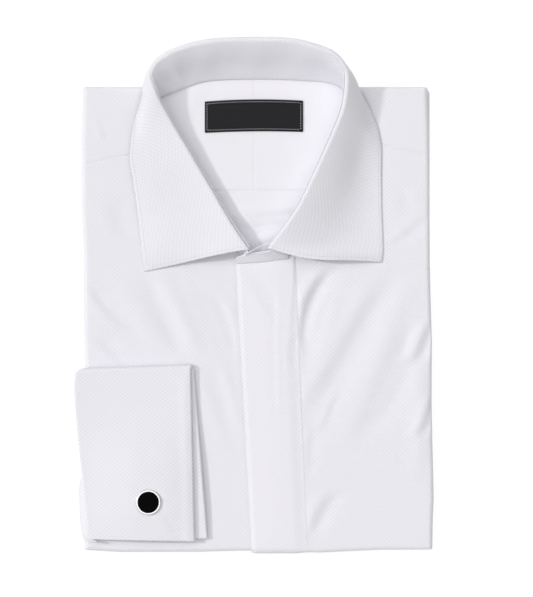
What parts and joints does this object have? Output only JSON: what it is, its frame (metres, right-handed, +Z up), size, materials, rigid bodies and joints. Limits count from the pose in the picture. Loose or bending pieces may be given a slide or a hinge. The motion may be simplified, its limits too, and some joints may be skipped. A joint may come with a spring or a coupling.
{
  "type": "folded long sleeve dress shirt with french cuff",
  "caption": "White long sleeve dress shirt folded flat for display, with a spread collar, a covered front placket and one french cuff brought to the front with its cuff link.",
  "frame": {"origin": "on the surface that the folded shirt lies on, below the middle of its outline", "axes": "+Y towards the collar, +Z up from the surface, +X towards the wearer's left side"},
  "size_m": [0.2355, 0.3398, 0.0351],
  "materials": {
    "shirt_cloth": "white cotton with a small woven diamond pattern",
    "collar_cloth": "white cotton, interlined and crisp, same weave",
    "inside_cloth": "white cotton, hidden folded layers",
    "label_satin": "black woven label, blank",
    "link_metal": "polished silver-toned metal",
    "link_face": "polished black enamel"
  },
  "bodies": {
    "root": {"folded_core": "inside_cloth", "back_panel": "shirt_cloth", "yoke_inner_left": "shirt_cloth", "yoke_inner_right": "shirt_cloth", "yoke_left": "shirt_cloth", "yoke_right": "shirt_cloth", "front_left": "shirt_cloth", "front_right": "shirt_cloth", "fly_placket": "shirt_cloth", "collar_stand": "collar_cloth", "collar_leaf": "collar_cloth", "label": "label_satin", "sleeve_right": "shirt_cloth", "french_cuff": "collar_cloth", "cufflink_body": "link_metal", "cufflink_face": "link_face", "cufflink_toggle": "link_metal"}
  },
  "joints": []
}
